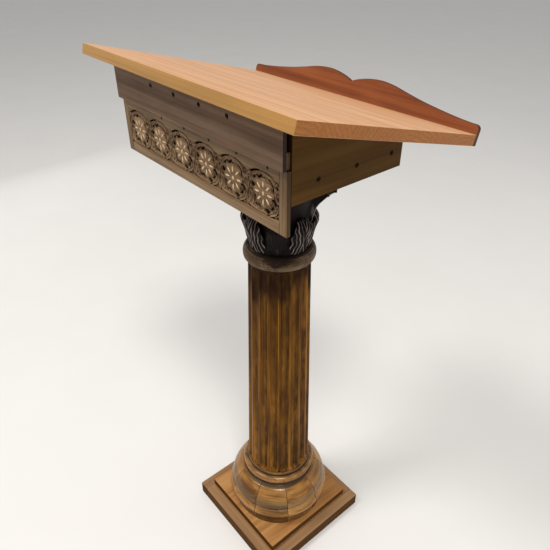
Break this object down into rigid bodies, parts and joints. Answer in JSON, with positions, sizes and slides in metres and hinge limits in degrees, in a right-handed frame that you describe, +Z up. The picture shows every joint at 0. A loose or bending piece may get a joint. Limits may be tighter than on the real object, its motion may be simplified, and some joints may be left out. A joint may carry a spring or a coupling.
{
  "type": "presentation lectern",
  "caption": "Column lectern: fluted wooden shaft with a leafy capital, square plinth, carved front panel and a sloping top with a book ledge.",
  "frame": {"origin": "centre of the plinth's underside, on the floor", "axes": "+Z up; -Y towards the audience, the side of the carved panel and the high edge of the top; +Y towards the reader, the side of the book ledge; +X to the right of someone who looks along +Y"},
  "size_m": [0.56, 0.4062, 1.2],
  "materials": {
    "plinth_wood": "satin varnish over sawn softwood",
    "base_wood": "gloss varnish, worn, over turned segments",
    "shaft_wood": "gloss varnish over fluted staves of mixed tone",
    "ring_wood": "satin varnish, rubbed",
    "capital_wood": "dark stain with rubbed edges",
    "block_wood": "dark stain",
    "top_wood": "satin oil over an edge-glued board",
    "ledge_wood": "satin red-brown stain",
    "panel_wood": "matt olive-brown stain on board",
    "inner_wood": "bare softwood",
    "plank_wood": "matt grey-brown stain",
    "carving_wood": "matt waxed hardwood, carved",
    "inlay_bone": "polished bone-coloured inlay",
    "screw_steel": "dull zinc-plated steel"
  },
  "bodies": {
    "root": {"back_panel": "panel_wood", "base_collar": "base_wood", "base_core": "inner_wood", "base_segment_1": "base_wood", "base_segment_2": "base_wood", "base_segment_3": "base_wood", "base_segment_4": "base_wood", "base_segment_5": "base_wood", "base_segment_6": "base_wood", "base_segment_7": "base_wood", "base_segment_8": "base_wood", "base_segment_9": "base_wood", "book_ledge": "ledge_wood", "box_floor": "inner_wood", "capital_abacus": "capital_wood", "capital_carving": "capital_wood", "carved_bottom_rail": "carving_wood", "carved_fretwork": "carving_wood", "carved_stile_left": "carving_wood", "carved_stile_right": "carving_wood", "carved_top_rail": "carving_wood", "carving_nails": "screw_steel", "floor_cleats": "inner_wood", "front_board": "inner_wood", "front_plank": "plank_wood", "lower_batten": "inner_wood", "mounting_block": "block_wood", "mounting_plate": "block_wood", "neck_ring": "ring_wood", "petal_inlays": "inlay_bone", "plank_screws": "screw_steel", "plinth_core": "plinth_wood", "plinth_screws": "screw_steel", "plinth_slab": "plinth_wood", "plinth_strip_back": "plinth_wood", "plinth_strip_front": "plinth_wood", "plinth_strip_left": "plinth_wood", "plinth_strip_right": "plinth_wood", "shaft_plugs": "inner_wood", "shaft_stave_1": "shaft_wood", "shaft_stave_2": "shaft_wood", "shaft_stave_3": "shaft_wood", "shaft_stave_4": "shaft_wood", "shaft_stave_5": "shaft_wood", "shaft_stave_6": "shaft_wood", "shaft_stave_7": "shaft_wood", "shaft_stave_8": "shaft_wood", "shaft_stave_9": "shaft_wood", "side_panel_left": "panel_wood", "side_panel_right": "panel_wood", "side_screws": "screw_steel", "tie_rod": "screw_steel", "tie_rod_nuts": "screw_steel", "top_cleats": "inner_wood", "top_plank_1": "top_wood", "top_plank_2": "top_wood", "top_plank_3": "top_wood", "top_plank_4": "top_wood", "top_screws": "screw_steel", "upper_batten": "inner_wood"}
  },
  "joints": []
}
